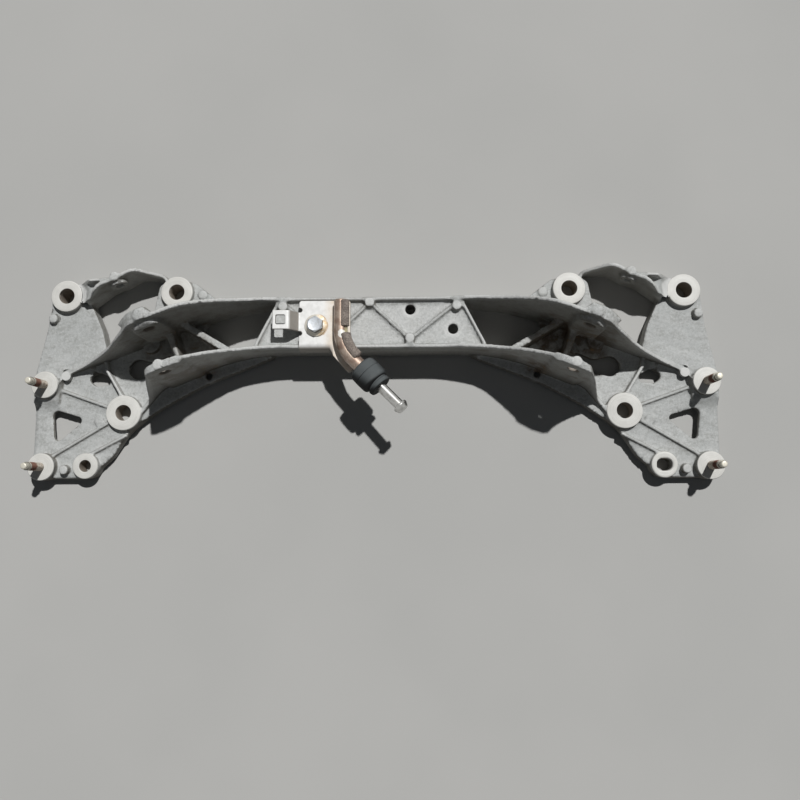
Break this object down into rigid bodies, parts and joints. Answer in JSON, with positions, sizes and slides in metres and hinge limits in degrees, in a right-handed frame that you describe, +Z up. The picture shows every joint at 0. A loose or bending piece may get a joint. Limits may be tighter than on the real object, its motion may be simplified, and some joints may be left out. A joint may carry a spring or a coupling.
{
  "type": "suspension cross-member",
  "caption": "Cast aluminium suspension cross-member with upright control arm ears, ribbed mounting wings, threaded studs and a bolted exhaust hanger bracket.",
  "frame": {"origin": "middle of the bounding box, on the floor under the mounting bosses", "axes": "+X along the beam, +Y towards the four upper body mounts, +Z up out of the mounting faces"},
  "size_m": [0.81, 0.248, 0.112],
  "materials": {
    "cast_aluminium": "matte as-cast skin with machined boss faces",
    "stud_steel": "dulled zinc with a rusty band",
    "zinc_sheet": "pale zinc plate",
    "zinc_bolt": "bright zinc",
    "tinted_rod": "heat-tinted brown steel with a rough weld run",
    "hanger_rubber": "matte black rubber",
    "bright_pin": "polished steel"
  },
  "bodies": {
    "root": {"crossmember": "cast_aluminium", "stud_left_upper": "stud_steel", "stud_left_lower": "stud_steel", "stud_right_upper": "stud_steel", "stud_right_lower": "stud_steel", "hanger_bracket": "zinc_sheet", "bracket_bolt": "zinc_bolt", "hanger_rod": "tinted_rod", "hanger_rubber": "hanger_rubber", "hanger_pin": "bright_pin"}
  },
  "joints": []
}
